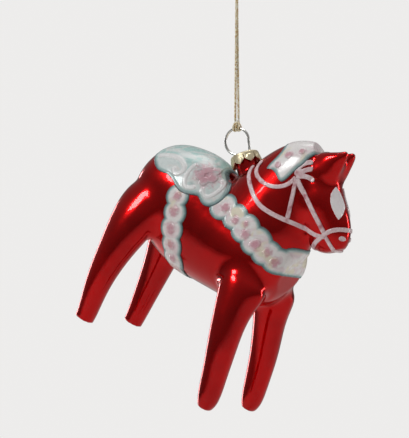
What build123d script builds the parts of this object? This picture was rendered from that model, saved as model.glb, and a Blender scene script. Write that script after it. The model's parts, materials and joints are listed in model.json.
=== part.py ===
"""Hanging glass horse: a blown glass shell with raised enamel trim, a crown cap, a spring wire and a gold thread."""

import os
from math import acos, atan2, cos, degrees, hypot, pi, radians, sin, tan

from build123d import *

# The stored pose hangs: +Z up the thread, +X the way the nose points, z = 0 where a hook takes the top loop.
DROP = 58.0  # from the hook down to the top of the wire loop
NOSE_DOWN = 34.0  # how far the hanging horse pitches forward, degrees
PIKE_BACK = 19.0  # how far the glass neck tube leans back from the vertical as it hangs

# Glass
WALL = {"torso": 0.9, "neck": 1.2, "head": 1.5, "foreleg": 1.1, "hindleg": 0.62}
PIKE_R, PIKE_BORE_R, PIKE_ROOT = 3.7, 3.1, 12.0

# Raised enamel, heights above the glass
RIM_H, FILL_H, DETAIL_H = 0.30, 0.45, 0.70
RIM_W = 1.1

# Crown cap, spring wire and thread
PLATE_R, SHEET = 4.6, 0.3
PETALS, PETAL_L, PETAL_W, PETAL_FLARE = 8, 3.8, 3.3, 6.0
BOSS_R, BOSS_H = 1.2, 0.2  # the six-sided boss pressed in each petal
PRESSED_R, PRESSED_W, PRESSED_H = 1.5, 0.6, 0.15  # the ring pressed in the plate
WIRE_R, LOOP_R, LOOP_UP, LOOP_SIDE = 0.4, 4.2, 5.1, -1.0
LEG_OUT, LEG_TIP, LEG_L = 2.3, 2.62, 13.0
THREAD_R, STRAND_GAP = 0.36, 1.06
STRAND_TURN = (30.0, 112.0)  # direction from one strand to the other, at the hitch and at the knot
KNOT_LOW, KNOT_HIGH, TOP_LOOP_R = -13.4, -10.4, 3.9

# The horse's own frame: +X towards its nose, +Z up, z = 0 at its soles, y = 0 in its middle plane.
HANG_FROM = (-11.71, 76.50)  # x and z of the wire loop's top in that frame
TORSO = [  # rearmost to foremost: x, belly height, back height, half width
    (-31.0, 45.0, 50.0, 3.0),
    (-29.5, 39.0, 57.0, 8.5),
    (-26.0, 34.5, 61.0, 11.8),
    (-19.0, 31.0, 63.8, 13.6),
    (-10.0, 28.3, 64.7, 14.2),
    (0.0, 28.0, 62.2, 14.2),
    (12.0, 29.2, 60.0, 14.0),
    (22.0, 31.0, 58.5, 13.0),
    (27.8, 34.5, 57.0, 10.5),
    (31.0, 41.0, 52.5, 6.0),
]
NECK = [  # lowest to highest: crest x, crest z, throat x, throat z, half width
    (-4.0, 54.0, 29.5, 48.5, 11.8),
    (-1.2, 65.0, 31.2, 59.5, 10.0),
    (3.8, 75.7, 29.5, 67.0, 8.0),
    (8.7, 82.3, 28.5, 73.5, 6.5),
    (15.5, 86.0, 26.5, 79.0, 4.2),
]
HEAD = [  # poll to lips: face x, face z, jaw x, jaw z, half width
    (21.0, 86.0, 15.5, 76.5, 5.0),
    (30.0, 80.0, 19.5, 67.5, 6.2),
    (35.0, 75.5, 26.5, 62.3, 5.8),
    (39.0, 72.0, 31.0, 59.5, 4.8),
    (41.5, 68.2, 34.5, 58.8, 4.0),
    (42.0, 64.0, 38.2, 60.0, 2.4),
]
EAR = [  # base to tip: rear x, rear z, front x, front z, offset y, half width
    (16.5, 80.0, 29.5, 76.5, 2.2, 3.5),
    (19.5, 84.5, 29.5, 81.5, 2.3, 3.1),
    (23.0, 87.3, 29.0, 86.0, 2.4, 2.4),
    (26.0, 89.0, 28.6, 88.6, 2.4, 1.5),
    (27.0, 89.9, 28.2, 89.7, 2.4, 0.7),
]
FORELEG = [  # shoulder to foot: rear x, front x, height, offset y, half width
    (13.0, 29.0, 42.5, 8.5, 5.0),
    (18.0, 31.6, 32.5, 11.6, 5.0),
    (22.0, 33.0, 24.5, 13.3, 4.6),
    (25.8, 35.2, 16.0, 14.0, 4.1),
    (29.0, 37.0, 8.0, 14.0, 3.8),
    (31.0, 37.5, 3.2, 14.0, 3.4),
    (32.6, 36.6, 0.5, 14.0, 2.4),
]
HINDLEG = [
    (-28.8, -11.0, 46.5, 7.5, 6.0),
    (-29.4, -12.6, 36.5, 11.2, 5.6),
    (-27.4, -14.0, 28.5, 13.4, 5.0),
    (-25.4, -14.8, 20.5, 14.8, 4.4),
    (-23.6, -15.1, 12.5, 15.3, 4.0),
    (-21.6, -14.8, 4.5, 14.9, 3.6),
    (-20.8, -14.7, -0.2, 14.7, 3.2),
]

# Enamel outlines, x and z in the horse's frame
SADDLE = [(-31.0, 58.0), (-28.5, 55.6), (-25.5, 54.0), (-22.0, 53.0), (-18.0, 53.6), (-14.0, 52.6), (-10.0, 51.8),
          (-6.8, 52.8), (-4.6, 53.6), (-2.4, 52.6), (0.6, 53.0), (2.2, 55.4), (2.0, 58.6), (0.4, 61.0), (-3.0, 62.6),
          (-5.2, 64.4), (-6.0, 68.0), (-18.0, 70.0), (-31.0, 65.0)]
MANE = [(9.0, 72.4), (12.4, 72.6), (15.7, 71.6), (17.4, 76.0), (18.5, 80.0), (19.4, 84.0), (22.0, 88.0), (18.0, 90.0),
        (10.0, 88.5), (6.5, 84.0), (8.2, 80.4), (8.8, 77.0)]
BAND = [(4.4, 55.4, 4.4), (10.0, 55.0, 4.3), (15.2, 53.9, 4.8), (20.3, 52.5, 4.8), (24.8, 51.1, 4.3),
        (28.8, 50.6, 4.3), (32.6, 52.0, 5.2)]
GIRTH = [(-10.3, 50.0, 4.1), (-8.1, 45.3, 4.3), (-6.6, 40.3, 4.5), (-4.7, 35.5, 4.3), (-3.3, 31.2, 4.3),
         (-2.6, 27.4, 4.2)]
BAND_DOTS = [(5.0, 55.6, 1.3), (10.6, 54.2, 1.1), (14.6, 55.2, 0.9), (16.4, 52.6, 1.3), (20.8, 51.6, 1.5),
             (25.2, 51.6, 1.1), (28.6, 50.0, 1.2)]
GIRTH_DOTS = [(-10.2, 50.2, 1.2), (-8.3, 45.6, 1.4), (-6.6, 40.4, 1.5), (-4.8, 35.6, 1.3), (-3.4, 31.6, 1.1)]
MANE_DOTS = [(11.4, 75.4, 0.9), (12.4, 79.6, 1.0), (15.4, 82.8, 0.9)]
ROSE = (-7.0, 60.2)  # middle of the blossom on the saddle
PETAL_RING, PETAL_R, ROSE_PETALS = 2.0, 1.25, 5
SCROLLS = [
    [(-25.5, 56.6), (-22.0, 58.8), (-17.5, 59.4), (-14.2, 57.4), (-15.2, 55.6), (-17.4, 56.4)],
    [(-12.6, 60.6), (-12.2, 56.8), (-10.2, 54.2), (-7.4, 55.2)],
    [(-2.4, 61.2), (-0.6, 58.0), (-2.0, 55.0), (-4.8, 56.2)],
]
REIN = [(2.6, 69.6), (3.9, 67.4), (6.6, 65.6), (10.6, 63.5), (14.5, 62.2), (18.6, 62.0), (22.8, 62.4), (28.6, 63.1),
        (33.6, 63.4), (36.0, 64.2)]
BROW = [(4.6, 72.6), (5.4, 69.9), (9.1, 68.4), (12.9, 68.6), (15.8, 69.8), (17.9, 71.8), (18.9, 74.8)]
THROAT = [(19.3, 75.0), (20.5, 72.2), (21.7, 69.2), (23.8, 63.6)]
CHEEK = [(20.3, 74.6), (22.6, 73.1), (25.4, 71.6), (29.0, 69.5), (32.7, 67.3), (36.0, 65.3)]
NOSEBAND = [(33.6, 59.0), (34.4, 61.4), (35.6, 64.0), (37.0, 66.8), (39.2, 68.9), (42.5, 70.4)]
LIP = [(36.8, 64.6), (39.2, 63.2), (42.6, 60.6)]
TABS = [[(18.5, 76.4), (18.2, 79.0), (20.0, 81.4)], [(19.2, 76.4), (20.6, 79.0), (22.3, 80.3)],
        [(19.6, 75.8), (21.4, 77.0), (23.6, 77.2)]]
EYE = [(31.1, 76.0), (30.2, 77.6), (30.5, 79.2), (31.4, 78.8), (32.8, 77.9), (34.5, 76.8), (35.6, 75.6), (37.0, 73.2),
       (37.3, 71.3), (36.1, 71.6), (34.6, 72.5), (32.5, 74.3)]
NOSTRIL, NOSTRIL_R = (41.0, 66.8), 0.8
STRAP_W, TAB_W, BROW_W, LIP_W, SCROLL_W = 1.4, 1.5, 1.3, 1.2, 1.0  # widths of the brush strokes
CREST_GAP = 0.05  # half the gap between the two sides of the mane's edge, on the crest
EYE_GAP = 0.9  # bare glass between each eye and the horse's middle plane


def leaning(x, y, z, lean):
    """A section plane at a point, its normal leaning forward from the vertical by lean degrees."""
    forward = (cos(radians(lean)), 0, -sin(radians(lean)))
    normal = (sin(radians(lean)), 0, cos(radians(lean)))
    return Plane(origin=(x, y, z), x_dir=forward, z_dir=normal)


def section(x1, z1, x2, z2, y, width):
    """The oval from one outline point to the one facing it: its plane, half length and half width."""
    plane = leaning((x1 + x2) / 2, y, (z1 + z2) / 2, degrees(atan2(z1 - z2, x2 - x1)))
    return plane, hypot(x2 - x1, z2 - z1) / 2, width


def limb(sections, grow):
    """A smooth solid through ovals, each grown outwards, the two end planes moved outwards too."""
    with BuildPart() as solid:
        for index, (plane, length, width) in enumerate(sections):
            out = {0: -grow, len(sections) - 1: grow}.get(index, 0)
            with BuildSketch(plane.offset(out)):
                with BuildLine():
                    turn = [k * pi / 6 for k in range(12)]
                    Spline([((length + grow) * cos(t), (width + grow) * sin(t)) for t in turn], periodic=True)
                make_face()
        loft()
    return solid.part


def ovals(name, side=1):
    """The sections of one limb, lowest or rearmost first."""
    if name == "torso":
        return [section(x, top, x, belly, 0, w) for x, belly, top, w in TORSO]
    if name in ("neck", "head"):
        return [section(a, b, c, d, 0, w) for a, b, c, d, w in (NECK if name == "neck" else HEAD)]
    if name == "ear":
        return [section(a, b, c, d, side * y, w) for a, b, c, d, y, w in EAR]
    table = FORELEG if name == "foreleg" else HINDLEG
    return [section(a, z, c, z, side * y, w) for a, c, z, y, w in reversed(table)]


def fused(limbs):
    """One solid from limbs given as (name, side, grow)."""
    whole = Part()
    for name, side, grow in limbs:
        whole += limb(ovals(name, side), grow)
    return whole


TRUNK = [("torso", 1), ("neck", 1), ("head", 1), ("ear", -1), ("ear", 1)]
LEGS = [("foreleg", -1), ("foreleg", 1), ("hindleg", -1), ("hindleg", 1)]


def closed(points):
    """A flat area inside a smooth closed outline."""
    with BuildSketch() as area:
        with BuildLine():
            Spline(points, periodic=True)
        make_face()
    return area.sketch


def inset(points, amount):
    """The points of a counterclockwise outline, moved inward by amount, square to the line of their neighbours."""
    moved = []
    for before, point, after in zip(points[-1:] + points[:-1], points, points[1:] + points[:1]):
        along = Vector(after[0] - before[0], after[1] - before[1]).normalized()
        moved.append((point[0] - amount * along.Y, point[1] + amount * along.X))
    return moved


def blobs(chain, less=0.0):
    """Overlapping round blobs, which together have a scalloped edge."""
    with BuildSketch() as area:
        for x, z, r in chain:
            with Locations((x, z)):
                Circle(r - less)
    return area.sketch


def stroke(points, width):
    """A brush stroke of one width with round ends, through the points."""
    with BuildSketch() as area:
        with BuildLine() as line:
            Spline(points)
        trace(line.line, width)
        for end in (points[0], points[-1]):
            with Locations(end):
                Circle(width / 2)
    return area.sketch


def relief(height, area, low=-30.0, high=30.0, base=None):
    """A raised layer of paint over a flat area, between low and high across the horse, on the glass or on base."""
    prism = extrude(Plane.XZ.offset(-high) * area, high - low)
    return (skin(height) & prism) - (bare if base is None else skin(base))


SKINS = {}


def skin(height):
    """The horse without its ears and legs, grown to the top of a paint layer."""
    if height not in SKINS:
        SKINS[height] = fused([(name, side, height) for name, side in TRUNK[:3]])
    return SKINS[height]


def hang(solid):
    """Tips a solid from the horse's frame into the hanging pose under the thread."""
    x, z = HANG_FROM
    return Pos(0, 0, -DROP) * Rot(0, NOSE_DOWN, 0) * Pos(-x, 0, -z) * solid


def paint(name, layer):
    """Writes one layer of paint, hung like the horse, as a node of its own."""
    with BuildPart() as node:
        add(hang(layer))
    node.part.label = name
    export_step(node.part, f"parts/{name}.step")


os.makedirs("parts", exist_ok=True)

# Frames: the wire loop's centre, where the horse tips, and the neck tube's frame, its local y the horse's left
loop_centre = Vector(0, 0, -DROP - WIRE_R - LOOP_R)
up_pike = Vector(-sin(radians(PIKE_BACK)), 0, cos(radians(PIKE_BACK)))
across_pike = Vector(cos(radians(PIKE_BACK)), 0, sin(radians(PIKE_BACK)))
plate_top = loop_centre - up_pike * LOOP_UP - across_pike * LOOP_SIDE
pike = Plane(origin=plate_top, x_dir=across_pike, z_dir=up_pike)

# The glass, blown in one piece: body, legs, head and the neck tube, open through the tube only
bare = fused([(name, side, 0.0) for name, side in TRUNK])
outer = fused([(name, side, 0.0) for name, side in TRUNK + LEGS])
cavity = fused([(name, side, -WALL[name]) for name, side in TRUNK[:3] + LEGS])
with BuildPart() as glass_body:
    add(hang(outer))
    with BuildSketch(pike.offset(-PIKE_ROOT)):
        Circle(PIKE_R)
    extrude(amount=PIKE_ROOT - SHEET)
    add(hang(cavity), mode=Mode.SUBTRACT)
    with BuildSketch(pike.offset(-PIKE_ROOT)):
        Circle(PIKE_BORE_R)
    extrude(amount=PIKE_ROOT, mode=Mode.SUBTRACT)
glass_body.part.label = "glass_body"
export_step(glass_body.part, "parts/glass_body.step")

# The painted areas, the later ones cut back so that no two layers share a place
saddle_area = closed(SADDLE)
saddle_inner = closed(inset(SADDLE, RIM_W))
band_area = blobs(BAND) - saddle_area
band_inner = blobs(BAND, RIM_W) - saddle_area
girth_area = blobs(GIRTH) - saddle_area
girth_inner = blobs(GIRTH, RIM_W) - saddle_area
mane_area = closed(MANE)
mane_inner = closed(inset(MANE, RIM_W))
rosette_area = stroke(TABS[0], TAB_W) + stroke(TABS[1], TAB_W) + stroke(TABS[2], TAB_W) - mane_area
noseband_area = stroke(NOSEBAND, STRAP_W)
rein_area = stroke(REIN, STRAP_W) - noseband_area
cheek_area = stroke(CHEEK, TAB_W) - rosette_area - noseband_area - rein_area
throat_area = stroke(THROAT, LIP_W) - rosette_area - cheek_area - rein_area
brow_area = stroke(BROW, BROW_W) - rosette_area - cheek_area - throat_area - mane_area - rein_area
lip_area = stroke(LIP, LIP_W) - noseband_area - rein_area

turns = [2 * pi * k / ROSE_PETALS for k in range(ROSE_PETALS)]
ring = [(ROSE[0] + PETAL_RING * cos(t), ROSE[1] + PETAL_RING * sin(t), PETAL_R) for t in turns]
curls = stroke(SCROLLS[0], SCROLL_W) + stroke(SCROLLS[1], SCROLL_W) + stroke(SCROLLS[2], SCROLL_W)
thighs = fused([(name, side, 0.0) for name, side in LEGS[2:]])
nostril = blobs([(*NOSTRIL, NOSTRIL_R)])
right_edge = relief(RIM_H, mane_area - mane_inner, high=-CREST_GAP)

paint("saddle_rim", relief(RIM_H, saddle_area - saddle_inner))
paint("saddle_fill", relief(FILL_H, saddle_inner))
paint("saddle_rose", relief(DETAIL_H, blobs(ring), base=FILL_H))
paint("saddle_scrolls", relief(DETAIL_H, curls, base=FILL_H))

paint("breast_band_rim", relief(RIM_H, band_area - band_inner))
paint("breast_band_fill", relief(FILL_H, band_inner))
paint("breast_band_dots", relief(DETAIL_H, blobs(BAND_DOTS), base=FILL_H))

paint("girth_rim", relief(RIM_H, girth_area - girth_inner) - thighs)
paint("girth_fill", relief(FILL_H, girth_inner) - thighs)
paint("girth_dots", relief(DETAIL_H, blobs(GIRTH_DOTS), base=FILL_H))

paint("mane_rim", right_edge + mirror(right_edge, about=Plane.XZ))
paint("mane_fill", relief(FILL_H, mane_inner))
paint("mane_dots", relief(DETAIL_H, blobs(MANE_DOTS), base=FILL_H))

paint("neck_rein", relief(FILL_H, rein_area))
paint("brow_strap", relief(FILL_H, brow_area))
paint("throat_strap", relief(FILL_H, throat_area))
paint("cheek_strap", relief(FILL_H, cheek_area))
paint("noseband", relief(FILL_H, noseband_area))
paint("lip_strap", relief(FILL_H, lip_area))
paint("rosette_tabs", relief(FILL_H, rosette_area))

paint("eye_right", relief(FILL_H, closed(EYE), high=-EYE_GAP))
paint("eye_left", relief(FILL_H, closed(EYE), low=EYE_GAP))
paint("nostrils", relief(FILL_H, nostril, high=-EYE_GAP) + relief(FILL_H, nostril, low=EYE_GAP))


# The crown cap: an eight-sided plate with two wire holes and a ring pressed in it, and eight hanging petals
with BuildPart() as crown_cap:
    with BuildSketch(pike.offset(-SHEET)):
        RegularPolygon(PLATE_R, PETALS, major_radius=False, rotation=180 / PETALS)
        with Locations((-LEG_OUT, 0), (LEG_OUT, 0)):
            Circle(WIRE_R + 0.06, mode=Mode.SUBTRACT)
    extrude(amount=SHEET)
    with BuildSketch(pike):
        Circle(PRESSED_R)
        Circle(PRESSED_R - PRESSED_W, mode=Mode.SUBTRACT)
    extrude(amount=PRESSED_H)
    for k in range(PETALS):
        around = Rot(0, 0, 360 * k / PETALS)
        leaf = Plane(origin=(PLATE_R, 0, 0), x_dir=(0, 1, 0), z_dir=(1, 0, 0))  # its local y runs up the tube
        down = pike.location * around * leaf.location * Rot(-PETAL_FLARE, 0, 0)
        half, tip = PETAL_W / 2, PETAL_L
        side = PLATE_R * tan(pi / PETALS) - 0.05
        with BuildSketch(Plane(down)):
            with BuildLine():
                Polyline((-side, 0), (side, 0), (half, -1.0), (half + 0.15, -tip * 0.72), (0, -tip),
                         (-half - 0.15, -tip * 0.72), (-half, -1.0), close=True)
            make_face()
        extrude(amount=-SHEET)
        with BuildSketch(Plane(down)):
            with Locations((0, -tip * 0.66)):
                RegularPolygon(BOSS_R, 6, rotation=30)
        extrude(amount=BOSS_H, taper=20)
crown_cap.part.label = "crown_cap"
export_step(crown_cap.part, "parts/crown_cap.step")

# The spring wire: a round loop above the plate, its two legs through the plate's holes and splayed in the tube


def tangent_point(hole, turn):
    """Where a straight leg from a hole in the plate leaves the loop, on the side given by turn."""
    dx, dy = hole - LOOP_SIDE, 0.75 - LOOP_UP
    angle = atan2(dy, dx) + turn * acos(LOOP_R / hypot(dx, dy))
    return LOOP_SIDE + LOOP_R * cos(angle), LOOP_UP + LOOP_R * sin(angle)


left, right = tangent_point(-LEG_OUT, -1), tangent_point(LEG_OUT, 1)
wire_plane = Plane(origin=plate_top, x_dir=across_pike, z_dir=(0, -1, 0))
with BuildPart() as hanger_wire:
    with BuildLine(wire_plane) as wire_path:
        ThreePointArc(left, (LOOP_SIDE, LOOP_UP + LOOP_R), right)
        FilletPolyline(left, (-LEG_OUT, 0.75), (-LEG_OUT, -0.9), (-LEG_TIP, -LEG_L), radius=0.7)
        FilletPolyline(right, (LEG_OUT, 0.75), (LEG_OUT, -0.9), (LEG_TIP, -LEG_L), radius=0.7)
    with BuildSketch(Plane(origin=wire_path.line @ 0, z_dir=wire_path.line % 0)):
        Circle(WIRE_R)
    sweep(path=wire_path.line)
hanger_wire.part.label = "hanger_wire"
export_step(hanger_wire.part, "parts/hanger_wire.step")

# The hitch: two turns of the thread around the wire's top, drawn together under a binding
with BuildPart() as thread_hitch:
    for side in (-1, 1):
        lean = side * 11.0
        turn_at = loop_centre + Vector(sin(radians(lean)), 0, cos(radians(lean))) * LOOP_R
        along_wire = Vector(cos(radians(lean)), 0, -sin(radians(lean)))
        with Locations(Plane(origin=turn_at, z_dir=along_wire)):
            Torus(WIRE_R + THREAD_R + 0.05, THREAD_R)
    with BuildSketch(Plane.XY.offset(-DROP + 0.45)):
        Ellipse(1.25, 0.85)
    with BuildSketch(Plane.XY.offset(-DROP + 1.1)):
        Circle(0.85)
    loft()
    for level in (1.15, 1.65):
        with Locations((0, 0, -DROP + level)):
            Torus(0.62, 0.34)
    with Locations((0, 0, -DROP + 1.1)):
        Cylinder(0.8, 0.95, align=(Align.CENTER, Align.CENTER, Align.MIN))
thread_hitch.part.label = "thread_hitch"
export_step(thread_hitch.part, "parts/thread_hitch.step")

# The thread: up one strand from the hitch, round the top loop, and down the other strand to the hitch
FOOT = -DROP + 2.1


def strand(sign, direction, height):
    """A point on one of the two strands, which stand half the gap to either side of the thread's middle line."""
    return Vector(sign * STRAND_GAP / 2 * cos(direction), sign * STRAND_GAP / 2 * sin(direction), height)


low, high = (radians(a) for a in STRAND_TURN)
bulge = (TOP_LOOP_R + 0.7) * 2 / STRAND_GAP  # the top loop's corners, counted in half gaps
half = [
    strand(1, low, FOOT),
    strand(1, high, KNOT_LOW - 0.6),
    strand(1, high, KNOT_HIGH + 2.3),
    strand(bulge, high, THREAD_R - 5.0),
    strand(bulge * 0.65, high, THREAD_R),
]
route = half + [Vector(-point.X, -point.Y, point.Z) for point in reversed(half)]
bends = []
for before, here, after in zip(route, route[1:], route[2:]):
    turn = radians((here - before).get_angle(after - here))
    bends.append(0.45 * min((here - before).length, (after - here).length) / tan(turn / 2))
print("thread bends, mm:", [round(r, 1) for r in bends])
with BuildPart() as hanging_thread:
    with BuildLine() as thread_path:
        FilletPolyline(*route, radius=bends)
    with BuildSketch(Plane(origin=thread_path.line @ 0, z_dir=thread_path.line % 0)):
        Circle(THREAD_R)
    sweep(path=thread_path.line)
print("thread length, mm:", round(sum(edge.length for edge in thread_path.edges()), 1))
hanging_thread.part.label = "hanging_thread"
export_step(hanging_thread.part, "parts/hanging_thread.step")

# The overhand knot under the top loop, a tight bundle of turns with both strands through it
with BuildPart() as thread_knot:
    with Locations((0, 0, KNOT_LOW)):
        Cylinder(1.15, KNOT_HIGH - KNOT_LOW, align=(Align.CENTER, Align.CENTER, Align.MIN))
    for level in (0.2, 0.5, 0.8):
        with Locations((0, 0, KNOT_LOW + level * (KNOT_HIGH - KNOT_LOW))):
            Torus(1.15, 0.42)
    add(hanging_thread.part, mode=Mode.SUBTRACT)
thread_knot.part.label = "thread_knot"
export_step(thread_knot.part, "parts/thread_knot.step")
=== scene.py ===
"""A hanging blown-glass dala horse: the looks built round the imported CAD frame. Metres throughout."""

import json
import math

import bmesh
import bpy
import numpy as np
from mathutils import Matrix, Vector
from mathutils.bvhtree import BVHTree


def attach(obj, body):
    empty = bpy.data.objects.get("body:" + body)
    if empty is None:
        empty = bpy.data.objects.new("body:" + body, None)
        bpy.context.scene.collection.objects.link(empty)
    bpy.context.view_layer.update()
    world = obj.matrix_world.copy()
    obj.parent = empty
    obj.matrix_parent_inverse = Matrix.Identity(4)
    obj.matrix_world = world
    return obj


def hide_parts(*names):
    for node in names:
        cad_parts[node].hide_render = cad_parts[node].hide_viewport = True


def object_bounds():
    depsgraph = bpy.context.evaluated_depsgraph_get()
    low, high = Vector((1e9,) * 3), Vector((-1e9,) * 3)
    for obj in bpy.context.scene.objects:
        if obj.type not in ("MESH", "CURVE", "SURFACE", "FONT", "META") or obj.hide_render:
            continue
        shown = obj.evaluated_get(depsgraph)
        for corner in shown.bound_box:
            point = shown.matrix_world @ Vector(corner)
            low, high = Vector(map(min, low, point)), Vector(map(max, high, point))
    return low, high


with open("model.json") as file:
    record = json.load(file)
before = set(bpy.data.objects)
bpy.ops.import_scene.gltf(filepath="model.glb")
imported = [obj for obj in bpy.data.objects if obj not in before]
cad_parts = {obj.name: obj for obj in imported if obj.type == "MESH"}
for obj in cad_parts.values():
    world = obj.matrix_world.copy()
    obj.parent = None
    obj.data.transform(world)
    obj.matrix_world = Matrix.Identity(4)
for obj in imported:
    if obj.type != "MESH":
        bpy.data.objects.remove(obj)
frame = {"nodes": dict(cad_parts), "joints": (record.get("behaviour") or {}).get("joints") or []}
cad_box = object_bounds()

MM = 0.001
scene = bpy.context.scene
scene.view_settings.view_transform = "Standard"

# Places taken from the frame
joints = {joint["name"]: joint for joint in frame["joints"]}
UP = Vector(joints["cap_slip"]["axis"]).normalized()          # the neck tube's line, upward
TILT = Vector(joints["horse_tilt"]["pos_m"])                  # middle of the wire loop
ACROSS = Vector((0, 1, 0)).cross(UP)                          # across the tube, towards the head
SIDE = Vector((0, 1, 0))

# ------------------------------------------------------------------ camera
AZIMUTH, ELEVATION = math.radians(30.0), math.radians(-5.5)
DISTANCE, LENS = 0.700, 181.2
LOOP_TOP = Vector((-0.35, 0, -58.0)) * MM
LOOP_RIGHT, LOOP_UP = 10.0 * MM, 29.2 * MM                    # of the loop's top from the middle of the view


def add_camera():
    """The camera, a little below the horse and 30 degrees round towards its head."""
    right = Vector((math.cos(AZIMUTH), math.sin(AZIMUTH), 0))
    back = Vector((math.sin(AZIMUTH) * math.cos(ELEVATION), -math.cos(AZIMUTH) * math.cos(ELEVATION),
                   math.sin(ELEVATION)))
    up = back.cross(right)
    data = bpy.data.cameras.new("camera")
    data.lens, data.sensor_width = LENS, 36.0
    data.clip_start, data.clip_end = 0.05, 20.0
    camera = bpy.data.objects.new("camera", data)
    scene.collection.objects.link(camera)
    place = LOOP_TOP - right * LOOP_RIGHT - up * LOOP_UP + back * DISTANCE
    camera.matrix_world = Matrix.Translation(place) @ Matrix((right, up, back)).transposed().to_4x4()
    scene.camera = camera


add_camera()


# ------------------------------------------------------------------ mesh helpers
def node_mesh(*names):
    """Vertices and faces of one or more CAD nodes, with the doubled vertices merged."""
    bm = bmesh.new()
    for name in names:
        bm.from_mesh(frame["nodes"][name].data)
    bmesh.ops.remove_doubles(bm, verts=bm.verts, dist=2e-6)
    verts = np.array([v.co for v in bm.verts])
    faces = [[v.index for v in f.verts] for f in bm.faces]
    bm.free()
    return verts, faces


def new_piece(name, verts, faces, body, slot, *nodes):
    """A mesh object that rides on a body and stands for CAD nodes."""
    mesh = bpy.data.meshes.new(name)
    mesh.from_pydata([tuple(v) for v in verts], [], faces)
    mesh.update()
    piece = bpy.data.objects.new(name, mesh)
    scene.collection.objects.link(piece)
    mesh.polygons.foreach_set("use_smooth", [True] * len(mesh.polygons))
    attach(piece, body)
    if nodes:
        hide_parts(*nodes)
    return piece


def remesh(verts, faces, voxel):
    """The same closed form in even quads of about one voxel."""
    mesh = bpy.data.meshes.new("before_remesh")
    mesh.from_pydata([tuple(v) for v in verts], [], faces)
    holder = bpy.data.objects.new("before_remesh", mesh)
    scene.collection.objects.link(holder)
    step = holder.modifiers.new("remesh", "REMESH")
    step.mode, step.voxel_size, step.adaptivity = "VOXEL", voxel, 0.0
    done = holder.evaluated_get(bpy.context.evaluated_depsgraph_get()).to_mesh()
    points = np.empty(len(done.vertices) * 3)
    done.vertices.foreach_get("co", points)
    polygons = [list(p.vertices) for p in done.polygons]
    bpy.data.objects.remove(holder)
    bpy.data.meshes.remove(mesh)
    return points.reshape(-1, 3), polygons


def joined(parts):
    """One list of vertices and faces out of several."""
    verts, faces = [], []
    for more, polygons in parts:
        faces += [[i + len(verts) for i in f] for f in polygons]
        verts += list(more)
    return verts, faces


def edges_of(faces):
    """Each edge of a mesh once, as an array of vertex pairs."""
    pairs = {(min(a, b), max(a, b)) for f in faces for a, b in zip(f, f[1:] + f[:1])}
    return np.array(sorted(pairs))


def smooth(verts, faces, rounds, keep=0.53):
    """Evens out a mesh by Taubin's pair of steps, which keeps its size."""
    pairs = edges_of(faces)
    ends = np.concatenate([pairs[:, 0], pairs[:, 1]])
    others = np.concatenate([pairs[:, 1], pairs[:, 0]])
    degree = np.bincount(ends, minlength=len(verts))[:, None]
    out = verts.copy()
    for step in [0.5, -keep] * rounds:
        total = np.stack([np.bincount(ends, out[others, k], len(verts)) for k in range(3)], axis=1)
        out += step * (total / degree - out)
    return out


def trees(*names):
    """One search tree for each CAD node."""
    out = []
    for name in names:
        verts, faces = node_mesh(name)
        out.append(BVHTree.FromPolygons([tuple(v) for v in verts], faces))
    return out


# ------------------------------------------------------------------ materials
class Shader:
    """A small helper that builds one Principled material out of nodes."""

    def __init__(self, name, **fixed):
        self.material = bpy.data.materials.new(name)
        self.material.use_nodes = True
        self.tree = self.material.node_tree
        self.surface = self.tree.nodes["Principled BSDF"]
        self.place = self.node("ShaderNodeTexCoord").outputs["Object"]
        for socket, value in fixed.items():
            self.surface.inputs[socket.replace("_", " ")].default_value = value

    def node(self, kind, settings=None, **inputs):
        made = self.tree.nodes.new(kind)
        for key, value in (settings or {}).items():
            setattr(made, key, value)
        for key, value in inputs.items():
            self.put(made.inputs[key.replace("_", " ")], value)
        return made

    def put(self, socket, value):
        if isinstance(value, bpy.types.NodeSocket):
            self.tree.links.new(value, socket)
        else:
            socket.default_value = value

    def noise(self, size, detail=3.0, rough=0.55, warp=0.0, place=None):
        """Cloudy values about 0.5, with features of about this size in metres."""
        made = self.node("ShaderNodeTexNoise", Scale=1 / size, Detail=detail, Roughness=rough,
                         Distortion=warp, Vector=place or self.place)
        return made.outputs["Fac"]

    def ramp(self, value, low, high, start=0.0, end=1.0):
        """Start below low, end above high, and a soft step between."""
        made = self.node("ShaderNodeMapRange", {"interpolation_type": "SMOOTHSTEP"}, Value=value)
        for key, number in (("From Min", low), ("From Max", high), ("To Min", start), ("To Max", end)):
            made.inputs[key].default_value = number
        return made.outputs["Result"]

    def maths(self, operation, a, b=0.5):
        made = self.node("ShaderNodeMath", {"operation": operation})
        self.put(made.inputs[0], a)
        self.put(made.inputs[1], b)
        return made.outputs[0]

    def mix(self, share, a, b, blend="MIX"):
        """Colour a, or b where share is 1."""
        made = self.node("ShaderNodeMix", {"data_type": "RGBA", "blend_type": blend})
        for socket, value in zip((made.inputs[0], made.inputs[6], made.inputs[7]), (share, a, b)):
            if isinstance(value, tuple) and len(value) == 3:
                value = (*value, 1.0)
            self.put(socket, value)
        return made.outputs[2]

    def painted(self, name):
        """A number stored on the mesh, such as how far a place is from the edge of the paint."""
        return self.node("ShaderNodeAttribute", {"attribute_name": name}).outputs["Fac"]

    def bump(self, height, depth, strength=1.0):
        made = self.node("ShaderNodeBump", Strength=strength, Distance=depth, Height=height)
        self.put(self.surface.inputs["Normal"], made.outputs["Normal"])

    def done(self, colour=None, rough=None, bump=None):
        if colour is not None:
            self.put(self.surface.inputs["Base Color"], colour)
        if rough is not None:
            self.put(self.surface.inputs["Roughness"], rough)
        if bump is not None:
            self.bump(*bump)
        return self.material


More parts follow.
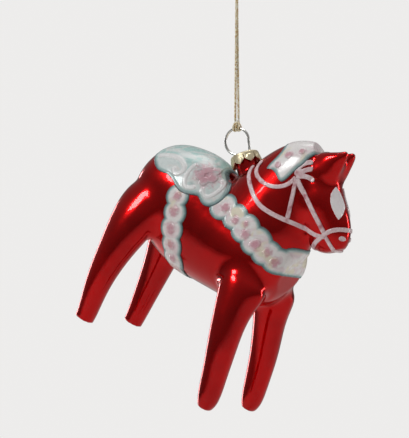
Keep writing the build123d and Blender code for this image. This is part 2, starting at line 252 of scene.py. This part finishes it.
def lacquer():
    """Deep red lacquer over silvered glass: a soft red mirror under a clear sharp gloss."""
    s = Shader("red_lacquer", Metallic=0.9, Coat_Weight=0.35, Coat_Roughness=0.015, Coat_IOR=1.5)
    cloud = s.ramp(s.noise(14 * MM, 2.0), 0.35, 0.65)
    deep = s.mix(cloud, (0.60, 0.0, 0.0005), (0.48, 0.0, 0.0005))
    thin = s.ramp(s.noise(5 * MM, 4.0, warp=0.6), 0.60, 0.78)
    colour = s.mix(s.maths("MULTIPLY", thin, 0.35), deep, (0.76, 0.012, 0.004))
    rough = s.ramp(s.noise(8 * MM, 3.0), 0.3, 0.7, 0.13, 0.21)
    return s.done(colour, rough, (s.noise(11 * MM, 1.0), 0.25 * MM, 0.35))


def enamel(name, white, tint, cream, pink, edge=(0.40, 0.56, 0.55), rim=(0.11, 0.17, 0.18)):
    """Thick gloss paint, stirred of a few tints, that turns teal towards its edge and dark grey at the very
    edge, partly paint thinning over the glass and partly painted shade.
    """
    s = Shader(name, Coat_Weight=0.4, Coat_Roughness=0.10, Specular_IOR_Level=0.4)
    drawn = s.node("ShaderNodeMapping", Vector=s.place)
    drawn.inputs["Scale"].default_value = (0.55, 1.0, 1.3)
    swirl = s.noise(5.5 * MM, 1.5, 0.45, 1.6, drawn.outputs["Vector"])
    colour = s.mix(s.ramp(swirl, 0.46, 0.64), white, tint)
    colour = s.mix(s.ramp(s.noise(4.5 * MM, 1.5, 0.4, 0.6), 0.55, 0.72), colour, cream)
    colour = s.mix(s.maths("MULTIPLY", s.painted("stroke"), 0.9), colour, (0.88, 0.87, 0.87))
    tear = s.ramp(s.noise(1.7 * MM, 3.0, 0.6, 0.8), 0.25, 0.75, -0.30, 0.30)
    ragged = s.maths("ADD", s.painted("pink"), tear)
    colour = s.mix(s.maths("MULTIPLY", s.ramp(ragged, 0.10, 1.05), 0.72), colour, pink)
    away = s.maths("ADD", s.painted("rim"), s.ramp(s.noise(2.4 * MM, 2.0), 0.2, 0.8, -0.10, 0.10))
    colour = s.mix(s.ramp(away, -0.55, 0.35), colour, edge)
    # dark grey at the very edge of the paint: partly thin paint, partly painted shade where the puffy edge
    # curves down
    colour = s.mix(s.ramp(away, 0.05, 0.90), colour, rim)
    rough = s.ramp(s.noise(1.5 * MM, 3.0), 0.3, 0.7, 0.20, 0.34)
    return s.done(colour, rough, (s.noise(1.6 * MM, 2.0, 0.5, 0.8), 0.08 * MM, 0.5))


def strap_paint():
    """Pinkish white paint drawn with a thin brush, so that the red shows through where it is thin."""
    s = Shader("bridle_paint", Coat_Weight=0.5, Coat_Roughness=0.1)
    streak = s.noise(1.6 * MM, 4.0, 0.6, 0.4)
    colour = s.mix(s.ramp(streak, 0.35, 0.65), (0.74, 0.50, 0.53), (0.86, 0.70, 0.72))
    colour = s.mix(s.ramp(s.noise(3.5 * MM, 2.0), 0.55, 0.75), colour, (0.50, 0.16, 0.19))
    return s.done(colour, s.ramp(streak, 0.3, 0.7, 0.25, 0.4), (streak, 0.04 * MM, 0.5))


def eye_paint():
    """Plain off-white paint with faint brush marks."""
    s = Shader("eye_paint", Coat_Weight=0.5, Coat_Roughness=0.1)
    streak = s.noise(1.2 * MM, 3.0, 0.5, 0.3)
    colour = s.mix(s.ramp(streak, 0.35, 0.7), (1.0, 0.95, 0.96), (0.94, 0.87, 0.89))
    return s.done(colour, s.ramp(streak, 0.3, 0.7, 0.22, 0.34), (streak, 0.03 * MM, 0.5))


def cap_metal():
    """Pale champagne gold sheet with a fine drawn grain and handling marks."""
    s = Shader("pale_gold_sheet", Metallic=0.92, Anisotropic=0.25)
    patina = s.ramp(s.noise(3.0 * MM, 4.0, 0.6, 0.5), 0.35, 0.72)
    colour = s.mix(patina, (0.88, 0.78, 0.54), (0.74, 0.63, 0.41))
    grain = s.node("ShaderNodeMapping", Vector=s.place)
    grain.inputs["Scale"].default_value = (1.0, 1.0, 0.12)
    fine = s.noise(0.25 * MM, 2.0, 0.5, 0.0, grain.outputs["Vector"])
    return s.done(colour, s.ramp(fine, 0.3, 0.7, 0.34, 0.50), (fine, 0.01 * MM, 0.4))


def wire_metal():
    """Bright drawn steel wire with faint die lines."""
    s = Shader("bright_wire", Metallic=1.0)
    fine = s.noise(0.3 * MM, 3.0)
    colour = s.mix(s.ramp(fine, 0.3, 0.7), (0.80, 0.79, 0.76), (0.68, 0.67, 0.64))
    return s.done(colour, s.ramp(fine, 0.3, 0.7, 0.14, 0.26), (fine, 0.005 * MM, 0.3))


def foil_yarn():
    """Gold foil wound round a pale core: bright flats and brown gaps, with painted white glints."""
    s = Shader("gold_yarn", Metallic=0.25)
    foil_tone_and_painted_glint = s.noise(0.7 * MM, 2.0, 0.6, 0.4)
    colour = s.mix(s.ramp(foil_tone_and_painted_glint, 0.40, 0.50), (0.72, 0.50, 0.22), (1.0, 0.92, 0.68))
    # painted highlight: white glints put into the foil's colour
    colour = s.mix(s.ramp(foil_tone_and_painted_glint, 0.53, 0.62), colour, (1.0, 0.96, 0.86))
    return s.done(colour, s.ramp(foil_tone_and_painted_glint, 0.3, 0.7, 0.50, 0.25), (s.noise(0.2 * MM, 2.0), 0.02 * MM, 0.6))


def plain(name, colour, rough):
    """Floor paint, very faintly mottled."""
    s = Shader(name, Roughness=rough)
    darker = tuple(0.97 * c for c in colour)
    return s.done(s.mix(s.noise(60 * MM, 2.0), colour, darker))


def dress(piece, material):
    """Gives a piece one material."""
    piece.data.materials.clear()
    piece.data.materials.append(material)


# ------------------------------------------------------------------ glass
GLASS_CELL = 0.40 * MM
BORE_R, BORE_DEPTH = 3.1 * MM, 11.0 * MM
HOLLOW = 0.010 * MM          # how hollow a place must be to be eased
SPREAD_ROUNDS, EASE_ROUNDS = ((28, 260))
END_BELOW = 0.45 * MM                                         # from the cap's ring down to the tube's end
BARE_NODES = ("glass_body", "crown_cap", "hanger_wire", "hanging_thread", "thread_hitch", "thread_knot")


def tube_end():
    """Middle of the open end of the neck tube: under the cap's plate, on the tube's line."""
    verts, _ = node_mesh("crown_cap")
    heights = verts @ np.array(UP)
    plate = verts[heights > heights.max() - 0.05 * MM]
    middle = (plate.min(axis=0) + plate.max(axis=0)) / 2
    return Vector(middle) - UP * END_BELOW


def outside_of(verts, faces):
    """The outer skin of the glass alone, closed flat over the end of the neck tube."""
    end = tube_end()
    bm = bmesh.new()
    points = [bm.verts.new(v) for v in verts]
    for face in faces:
        bm.faces.new([points[i] for i in face])
    bm.normal_update()
    level, reach = 0.3 * MM, BORE_R + 0.9 * MM
    ring = [f for f in bm.faces if f.normal.dot(UP) > 0.99 and (f.calc_center_median() - end).length < reach
            and abs((f.calc_center_median() - end).dot(UP)) < level]
    bmesh.ops.delete(bm, geom=ring, context="FACES_ONLY")
    seen, stack = set(), [min(bm.verts, key=lambda v: v.co.z)]
    while stack:
        vert = stack.pop()
        if vert in seen:
            continue
        seen.add(vert)
        stack.extend(edge.other_vert(vert) for edge in vert.link_edges)
    bmesh.ops.delete(bm, geom=[v for v in bm.verts if v not in seen], context="VERTS")
    bmesh.ops.holes_fill(bm, edges=[e for e in bm.edges if e.is_boundary])
    bm.verts.index_update()
    out = np.array([v.co for v in bm.verts]), [[v.index for v in f.verts] for f in bm.faces]
    bm.free()
    return out


def bored(piece):
    """Cuts the bore of the neck tube into the closed skin."""
    bm = bmesh.new()
    turn = UP.to_track_quat("Z", "Y").to_matrix().to_4x4()
    middle = tube_end() - UP * (BORE_DEPTH / 2 - 1 * MM)
    bmesh.ops.create_cone(bm, cap_ends=True, segments=64, radius1=BORE_R, radius2=BORE_R, depth=BORE_DEPTH,
                          matrix=Matrix.Translation(middle) @ turn)
    mesh = bpy.data.meshes.new("bore")
    bm.to_mesh(mesh)
    bm.free()
    drill = bpy.data.objects.new("bore", mesh)
    scene.collection.objects.link(drill)
    step = piece.modifiers.new("bore", "BOOLEAN")
    step.operation, step.object, step.solver = "DIFFERENCE", drill, "EXACT"
    cut = bpy.data.meshes.new_from_object(piece.evaluated_get(bpy.context.evaluated_depsgraph_get()))
    piece.modifiers.clear()
    piece.data = cut
    bpy.data.objects.remove(drill)


def normals_of(verts, faces):
    """The unit normal at each vertex of a mesh of quads and triangles."""
    total = np.zeros_like(verts)
    for corners in (3, 4):
        some = np.array([f for f in faces if len(f) == corners])
        if len(some):
            across = np.cross(verts[some[:, 2]] - verts[some[:, 0]], verts[some[:, -1]] - verts[some[:, 1]])
            for k in range(corners):
                for axis in range(3):
                    total[:, axis] += np.bincount(some[:, k], across[:, axis], len(verts))
    return total / np.maximum(np.linalg.norm(total, axis=1, keepdims=True), 1e-12)


def eased(verts, faces):
    """Fills the sharp inner corners where the legs and ears join, away from the paint and the neck tube."""
    pairs = edges_of(faces)
    ends = np.concatenate([pairs[:, 0], pairs[:, 1]])
    others = np.concatenate([pairs[:, 1], pairs[:, 0]])
    degree = np.bincount(ends, minlength=len(verts))

    def around(values):
        return np.bincount(ends, values[others], len(verts)) / degree

    def pull(points):
        return np.stack([around(points[:, k]) for k in range(3)], axis=1) - points

    hollow = (pull(verts) * normals_of(verts, faces)).sum(axis=1)
    share = (hollow > HOLLOW).astype(float)
    for _ in range(SPREAD_ROUNDS):
        share = around(share)
    share = np.clip(share * 4, 0, 1)
    near = np.where(share > 0.01)[0]
    clear = np.full(len(verts), 1.0)
    painted = [tree for name in frame["nodes"] if name not in BARE_NODES for tree in trees(name)]
    for i in near:
        gap = min((hit[3] for hit in (tree.find_nearest(Vector(verts[i]), 3 * MM) for tree in painted)
                   if hit[3] is not None), default=3 * MM)
        clear[i] = min(max((gap - 0.4 * MM) / (1.6 * MM), 0.0), 1.0)
    tube = np.linalg.norm(verts - np.array(tube_end()), axis=1)
    share *= clear * np.clip((tube - 11 * MM) / (3 * MM), 0, 1)
    out = verts.copy()
    for _ in range(EASE_ROUNDS):
        out += 0.5 * share[:, None] * pull(out)
    return out


def blow_glass(material):
    """The horse in one smooth skin, its joints rounded as blown glass is, with the bore of its tube."""
    verts, faces = remesh(*outside_of(*node_mesh("glass_body")), GLASS_CELL)
    verts = eased(smooth(verts, faces, 30), faces)
    glass = new_piece("glass_horse", verts, faces, "horse", "red_lacquered_glass", "glass_body")
    dress(glass, material)
    bored(glass)
    return verts, faces


skin_verts, skin_faces = blow_glass(lacquer())
skin_tree = BVHTree.FromPolygons([tuple(v) for v in skin_verts], skin_faces)


# ------------------------------------------------------------------ enamel
PAINT_CELL = 0.17 * MM
RIM_W = 1.1 * MM


def distance(tree, points, far):
    """How far each point is from a node's surface, up to far."""
    found = (tree.find_nearest(Vector(p), far) for p in points)
    return np.array([far if hit[3] is None else hit[3] for hit in found])


def store(piece, name, values):
    """Keeps one number for each vertex, for the material to read."""
    layer = piece.data.attributes.new(name, "FLOAT", "POINT")
    layer.data.foreach_set("value", np.asarray(values, dtype=np.float32))


EDGE_H = 0.16 * MM                                            # paint this low above the glass is its edge


def seated(verts, sink=0.25 * MM):
    """Pushes the underside of a layer of paint into the glass, so that no gap shows under its edge."""
    out = verts.copy()
    for i, vert in enumerate(verts):
        place, normal, _, _ = skin_tree.find_nearest(Vector(vert))
        height = (Vector(vert) - place).dot(normal)
        low = min(max((EDGE_H - height) / EDGE_H, 0.0), 1.0)
        out[i] -= np.array(normal) * sink * low
    return out


def spots(node):
    """Middle and half width of each separate solid of a node."""
    verts, faces = node_mesh(node)
    group = list(range(len(verts)))

    def root(i):
        while group[i] != i:
            group[i] = group[group[i]]
            i = group[i]
        return i
    for face in faces:
        for i in face[1:]:
            group[root(i)] = root(face[0])
    roots = np.array([root(i) for i in range(len(verts))])
    for r in np.unique(roots):
        own = verts[roots == r]
        yield own.mean(axis=0), (own.max(axis=0) - own.min(axis=0)).max() / 2


def lay_paint(name, nodes, slot, material, rounds=7, pink=None, stroke=None, fill=None, edge=None):
    """One puffy layer of paint that stands for several CAD nodes, with its tints stored on it."""
    verts, faces = remesh(*joined([node_mesh(node) for node in nodes]), PAINT_CELL)
    verts = seated(smooth(verts, faces, rounds, 0.5))
    piece = new_piece(name, verts, faces, "horse", slot, *nodes)
    blush = np.zeros(len(verts))
    for middle, half in spots(pink) if pink else ():
        blush = np.maximum(blush, 1.3 - np.linalg.norm(verts - middle, axis=1) / (1.5 * half))
    store(piece, "pink", np.clip(blush, 0, 1))
    near = distance(trees(stroke)[0], verts, 1 * MM) if stroke else np.full(len(verts), 1 * MM)
    store(piece, "stroke", np.clip(1.3 - near / (0.4 * MM), 0, 1))
    far = 4 * MM
    away = -np.ones(len(verts))
    if fill:
        away = distance(trees(fill)[0], verts, far) - distance(trees(edge)[0], verts, far)
    store(piece, "rim", away / RIM_W)
    dress(piece, material)
    return piece


def almond(piece):
    """Draws an eye's outline out to a point at both ends, its height above the glass unchanged."""
    verts = np.array([v.co for v in piece.data.vertices])
    middle = verts.mean(axis=0)
    _, _, axes = np.linalg.svd(verts - middle, full_matrices=False)
    along, across = (verts - middle) @ axes[0], (verts - middle) @ axes[1]
    start, length = along.min(), along.max() - along.min()
    rows = np.minimum(((along - start) / length * EYE_ROWS).astype(int), EYE_ROWS - 1)
    low = np.array([across[rows == r].min() for r in range(EYE_ROWS)])
    high = np.array([across[rows == r].max() for r in range(EYE_ROWS)])
    at = start + (np.arange(EYE_ROWS) + 0.5) / EYE_ROWS * length
    line = np.polyfit(at[2:-2], ((low + high) / 2)[2:-2], 3)
    half = np.maximum(np.interp(along, at, (high - low) / 2), 0.1 * MM)
    off = (across - np.interp(along, at, (high + low) / 2)) / half
    share = np.abs(2 * (along - start) / length - 1)
    wanted = 0.5 * np.percentile(high - low, 90) * (1 - share ** 2.0) ** 0.8
    moved = np.polyval(line, along) + np.clip(off, -1, 1) * wanted - across
    for vert, old, step in zip(piece.data.vertices, verts, moved):
        place, normal, _, _ = skin_tree.find_nearest(Vector(old))
        height = (Vector(old) - place).dot(normal)
        place, normal, _, _ = skin_tree.find_nearest(Vector(old + step * axes[1]))
        vert.co = place + normal * height


EYE_ROWS = 24                                                 # slices that the outline is measured in
TEAL, CREAM, ROSE = (0.44, 0.66, 0.63), (0.84, 0.78, 0.62), (0.60, 0.20, 0.28)
saddle_paint = enamel("saddle_enamel", (0.70, 0.77, 0.76), TEAL, (0.76, 0.75, 0.73), ROSE)
band_paint = enamel("band_enamel", (0.88, 0.85, 0.84), (0.82, 0.70, 0.72), CREAM, ROSE)
lay_paint("saddle_paint", ("saddle_rim", "saddle_fill", "saddle_rose", "saddle_scrolls"), "saddle_enamel",
          saddle_paint, pink="saddle_rose", stroke="saddle_scrolls", fill="saddle_fill", edge="saddle_rim")
for band in ("breast_band", "girth", "mane"):
    lay_paint(f"{band}_paint", (f"{band}_rim", f"{band}_fill", f"{band}_dots"), "cream_pink_enamel",
              band_paint, rounds=12, pink=f"{band}_dots", fill=f"{band}_fill", edge=f"{band}_rim")

bridle = strap_paint()
for strap in ("neck_rein", "brow_strap", "throat_strap", "cheek_strap", "noseband", "lip_strap",
              "rosette_tabs", "nostrils"):
    lay_paint(f"{strap}_paint", (strap,), "pink_white_enamel", bridle, rounds=5)
eyes = eye_paint()
for side in ("right", "left"):
    almond(lay_paint(f"eye_{side}_paint", (f"eye_{side}",), "white_enamel", eyes, rounds=5))


# ------------------------------------------------------------------ cap
PLATE_R, SHEET, PETALS = 4.6 * MM, 0.3 * MM, 8
PETAL_L, PETAL_W, FLARE = 3.8 * MM, 3.45 * MM, math.radians(6.0)
SHOULDER = 0.55 * MM                                          # radius of the bend from plate to petal
BOSS_R, BOSS_H, BOSS_AT = 1.15 * MM, 0.22 * MM, 1.35 * MM     # the pressed hexagon, and how far above the tip
TIP_L = 1.35 * MM                                             # how far above its tip a petal starts to narrow
RING_R, RING_W, RING_H = 1.35 * MM, 0.28 * MM, 0.16 * MM      # the ring pressed in the plate
PLATE_TOP = tube_end() + UP * SHEET


def petal_line(along):
    """Radius and height on a petal's outer face, this far along it from the middle of the plate."""
    flat = PLATE_R - SHOULDER
    bend = SHOULDER * (math.pi / 2 - FLARE)
    if along < flat:
        return along, 0.0
    if along < flat + bend:
        angle = (along - flat) / SHOULDER
        return flat + SHOULDER * math.sin(angle), -SHOULDER * (1 - math.cos(angle))
    down = along - flat - bend
    radius, height = petal_line(flat + bend * 0.999999)
    return radius + down * math.sin(FLARE), height - down * math.cos(FLARE)


def hexagon(x, y):
    """How far a point is from the middle of a hexagon, counted in its flats."""
    return max(abs(x * math.cos(a) + y * math.sin(a)) for a in (math.pi / 6, math.pi / 2, 5 * math.pi / 6))


def press_cap(material):
    """The cap pressed from one sheet: a plate with a raised ring, and petals with a hexagon near each tip."""
    across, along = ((17, 64))
    bend_end = PLATE_R - SHOULDER + SHOULDER * (math.pi / 2 - FLARE)
    total = bend_end + PETAL_L - SHOULDER
    verts, faces = [], []
    for k in range(PETALS):
        first = len(verts)
        for i in range(along + 1):
            s = total * i / along
            radius, height = petal_line(s)
            left = total - s                                  # distance from the tip
            sector = math.pi / PETALS * radius
            point = PETAL_W / 2 * min(1.0, left / TIP_L) ** 0.8
            notch = min(max((s - bend_end) / (0.7 * MM), 0.0), 1.0)
            half = sector + (min(point, sector * 0.985) - sector) * notch
            for j in range(across + 1):
                u = 2 * j / across - 1
                x = u * half
                reach = hexagon(x, left - BOSS_AT) / (BOSS_R * 0.866)
                rise = BOSS_H * min(max((1.12 - reach) / 0.22, 0.0), 1.0) if s > bend_end else 0.0
                ring = RING_H * math.exp(-((radius - RING_R) / RING_W) ** 4) if s < bend_end else 0.0
                angle = 2 * math.pi * k / PETALS + (x / radius if radius > 1e-6 else 0.0)
                out = radius + rise
                verts.append(PLATE_TOP + ACROSS * out * math.cos(angle) + SIDE * out * math.sin(angle)
                             + UP * (height + ring))
        wide = across + 1
        for i in range(along):
            for j in range(across):
                a = first + i * wide + j
                faces.append([a, a + wide, a + wide + 1, a + 1])
    piece = new_piece("crown_cap_pressed", verts, faces, "cap", "pale_gold_cap", "crown_cap")
    bm = bmesh.new()
    bm.from_mesh(piece.data)
    bmesh.ops.remove_doubles(bm, verts=bm.verts, dist=0.004 * MM)
    bmesh.ops.recalc_face_normals(bm, faces=bm.faces)
    bm.to_mesh(piece.data)
    bm.free()
    sheet = piece.modifiers.new("sheet", "SOLIDIFY")
    sheet.thickness, sheet.offset = SHEET * 0.9, -1.0
    edge = piece.modifiers.new("edge", "BEVEL")
    edge.width, edge.segments, edge.limit_method, edge.angle_limit = 0.06 * MM, 2, "ANGLE", math.radians(50)
    dress(piece, material)


press_cap(cap_metal())
dress(frame["nodes"]["hanger_wire"], wire_metal())

# ------------------------------------------------------------------ thread
THREAD_R = 0.36 * MM
# The route in the order of the thread: mm from its middle line, degrees round it, mm high
HALF_ROUTE = [(0.53, 30, -55.9), (0.53, 112, -14.0), (0.53, 112, -8.1), (4.6, 112, -4.64), (2.99, 112, 0.36)]
HALF = [Vector((out * math.cos(math.radians(turn)), out * math.sin(math.radians(turn)), high)) * MM
        for out, turn, high in HALF_ROUTE]
ROUTE = HALF + [Vector((-p.x, -p.y, p.z)) for p in reversed(HALF)]


def spline_points(points):
    """Points close together along the NURBS spline that has the route's points as its control points."""
    data = bpy.data.curves.new("route", "CURVE")
    data.dimensions = "3D"
    data.resolution_u = 220
    spline = data.splines.new("NURBS")
    spline.points.add(len(points) - 1)
    for point, place in zip(spline.points, points):
        point.co = (*place, 1.0)
    spline.order_u = 3
    spline.use_endpoint_u = True
    holder = bpy.data.objects.new("route", data)
    scene.collection.objects.link(holder)
    mesh = bpy.data.meshes.new_from_object(holder.evaluated_get(bpy.context.evaluated_depsgraph_get()))
    out = [v.co.copy() for v in mesh.vertices]
    bpy.data.objects.remove(holder)
    bpy.data.meshes.remove(mesh)
    return out


def plied(path, radius, pitch, plies=3, sides=8):
    """Yarn along a path: plies twisted round each other, as vertices and faces."""
    ply = radius / (1 + 1 / math.sin(math.pi / plies)) * 1.12
    off = radius - ply
    last = len(path) - 1
    tangents = [(path[min(i + 1, last)] - path[max(i - 1, 0)]).normalized() for i in range(last + 1)]
    normal = tangents[0].orthogonal().normalized()
    length, frames = 0.0, []
    for i, (point, tangent) in enumerate(zip(path, tangents)):
        if i:
            length += (point - path[i - 1]).length
            normal = tangents[i - 1].rotation_difference(tangent) @ normal
        normal = (normal - tangent * normal.dot(tangent)).normalized()
        frames.append((point, normal, tangent.cross(normal), 2 * math.pi * length / pitch))
    verts, faces = [], []
    for k in range(plies):
        first = len(verts)
        for point, x, y, turn in frames:
            angle = turn + 2 * math.pi * k / plies
            middle = point + (x * math.cos(angle) + y * math.sin(angle)) * off
            for j in range(sides):
                a = 2 * math.pi * j / sides + angle
                verts.append(middle + (x * math.cos(a) + y * math.sin(a)) * ply)
        for i in range(len(frames) - 1):
            for j in range(sides):
                a, b = first + i * sides + j, first + i * sides + (j + 1) % sides
                faces.append([a, b, b + sides, a + sides])
        faces.append([first + j for j in reversed(range(sides))])
        faces.append([first + (len(frames) - 1) * sides + j for j in range(sides)])
    return verts, faces


HITCH_TURN_R, HITCH_LEAN = 0.80 * MM, 13.0                    # a turn on the wire, degrees to the next
NECK_Z, BINDING_Z, BINDING_PITCH = -56.2, -56.95, 0.32        # heights and rise of the binding, mm
BINDING_TURNS, KNOT_TURNS = 2.6, 3.2
KNOT_LOW, KNOT_HIGH = -13.0, -10.8                            # mm
WIRE_R = 0.4 * MM


def hitch_yarn():
    """The hitch: turns of the thread round the wire's top, drawn together under a binding."""
    loop_r = LOOP_TOP.z - WIRE_R - TILT.z
    parts = []
    for side in (-1, 0, 1):
        lean = math.radians(side * HITCH_LEAN)
        middle = TILT + Vector((math.sin(lean), 0, math.cos(lean))) * loop_r
        outward = (middle - TILT).normalized()
        ring = [middle + (outward * math.cos(a) + SIDE * math.sin(a)) * HITCH_TURN_R
                for a in np.linspace(0, 2 * math.pi, 41)]
        parts.append(plied(ring, 0.34 * MM, 1.7 * MM))
        for y in (-1, 1):
            foot = middle + outward * 0.62 * MM + SIDE * y * 0.55 * MM
            neck = Vector((side * 0.30, y * 0.28, NECK_Z)) * MM
            mid = foot.lerp(neck, 0.5) + Vector((side * 0.1, 0, 0)) * MM
            parts.append(plied(spline_points([foot, mid, neck]), 0.30 * MM, 1.7 * MM))
    rise = BINDING_PITCH / (2 * math.pi)
    turns = [Vector((0.58 * math.cos(a), 0.52 * math.sin(a), BINDING_Z + rise * a)) * MM
             for a in np.linspace(0, 2 * math.pi * BINDING_TURNS, 90)]
    parts.append(plied(turns, 0.29 * MM, 1.6 * MM))
    return joined(parts)


def knot_yarn():
    """The knot under the top loop: turns round both strands, a little uneven."""
    whole = 2 * math.pi * KNOT_TURNS
    turns = []
    for a in np.linspace(0, whole, 130):
        x = (0.98 + 0.10 * math.sin(1.7 * a)) * math.cos(a)
        y = (0.92 + 0.08 * math.cos(2.3 * a)) * math.sin(a)
        z = KNOT_LOW + (KNOT_HIGH - KNOT_LOW) * a / whole + 0.15 * math.sin(a)
        turns.append(Vector((x, y, z)) * MM)
    core = [Vector((0, 0, z)) * MM for z in np.linspace(KNOT_LOW, KNOT_HIGH, 12)]
    return joined([plied(turns, 0.40 * MM, 1.9 * MM), plied(core, 0.55 * MM, 4.0 * MM)])


yarn = foil_yarn()
line = spline_points(ROUTE)
thread = new_piece("gold_thread", *plied(line, 1.15 * THREAD_R, 2.2 * MM), "thread", "gold_thread",
                   "hanging_thread")
hitch = new_piece("gold_hitch", *hitch_yarn(), "hitch", "gold_thread", "thread_hitch")
knot = new_piece("gold_knot", *knot_yarn(), "thread", "gold_thread", "thread_knot")
for piece in (thread, hitch, knot):
    dress(piece, yarn)


# ------------------------------------------------------------------ stage and lights
FLOOR_Z = cad_box[0][2] - 0.10


def add_stage():
    """A plain pale floor below the hanging horse."""
    bm = bmesh.new()
    bmesh.ops.create_circle(bm, cap_ends=True, segments=96, radius=2.5)
    mesh = bpy.data.meshes.new("floor")
    bm.to_mesh(mesh)
    bm.free()
    floor = bpy.data.objects.new("floor", mesh)
    floor.location = (0, 0, FLOOR_Z)
    scene.collection.objects.link(floor)
    dress(floor, plain("floor_paint", (0.80, 0.79, 0.77), 0.6))


def add_light(name, place, size, power, colour=(1.0, 1.0, 1.0)):
    """A square soft light, turned to the horse."""
    data = bpy.data.lights.new(name, "AREA")
    data.shape, data.size, data.size_y = "RECTANGLE", size[0], size[1]
    data.energy, data.color = power, colour
    light = bpy.data.objects.new(name, data)
    light.location = place
    light.rotation_euler = (Vector((0, 0, -0.1)) - Vector(place)).to_track_quat("-Z", "Y").to_euler()
    scene.collection.objects.link(light)


def add_world():
    """Even pale surroundings, a little brighter above."""
    world = bpy.data.worlds.new("studio")
    scene.world = world
    world.use_nodes = True
    tree = world.node_tree
    sky = tree.nodes["Background"]
    place = tree.nodes.new("ShaderNodeTexCoord")
    parts = tree.nodes.new("ShaderNodeSeparateXYZ")
    tree.links.new(place.outputs["Generated"], parts.inputs[0])
    rise = tree.nodes.new("ShaderNodeMapRange")
    tree.links.new(parts.outputs["Z"], rise.inputs["Value"])
    for key, number in (("From Min", -0.1), ("From Max", 1.0), ("To Min", 0.10), ("To Max", 0.36)):
        rise.inputs[key].default_value = number
    seen = tree.nodes.new("ShaderNodeLightPath")
    shown = tree.nodes.new("ShaderNodeMix")
    tree.links.new(seen.outputs["Is Camera Ray"], shown.inputs[0])
    tree.links.new(rise.outputs[0], shown.inputs[2])
    shown.inputs[3].default_value = 0.85
    tree.links.new(shown.outputs[0], sky.inputs["Strength"])
    sky.inputs["Color"].default_value = (1.0, 0.99, 0.98, 1.0)


add_stage()
add_world()
add_light("key", (-0.30, -0.75, 0.55), (0.22, 0.22), 3.4)
add_light("left_strip", (-0.85, 0.35, -0.05), (0.12, 0.70), 2.2)
add_light("right_strip", (0.80, 0.55, -0.05), (0.12, 0.70), 2.2)
add_light("top", (0.05, 0.10, 0.80), (0.45, 0.45), 2.0)
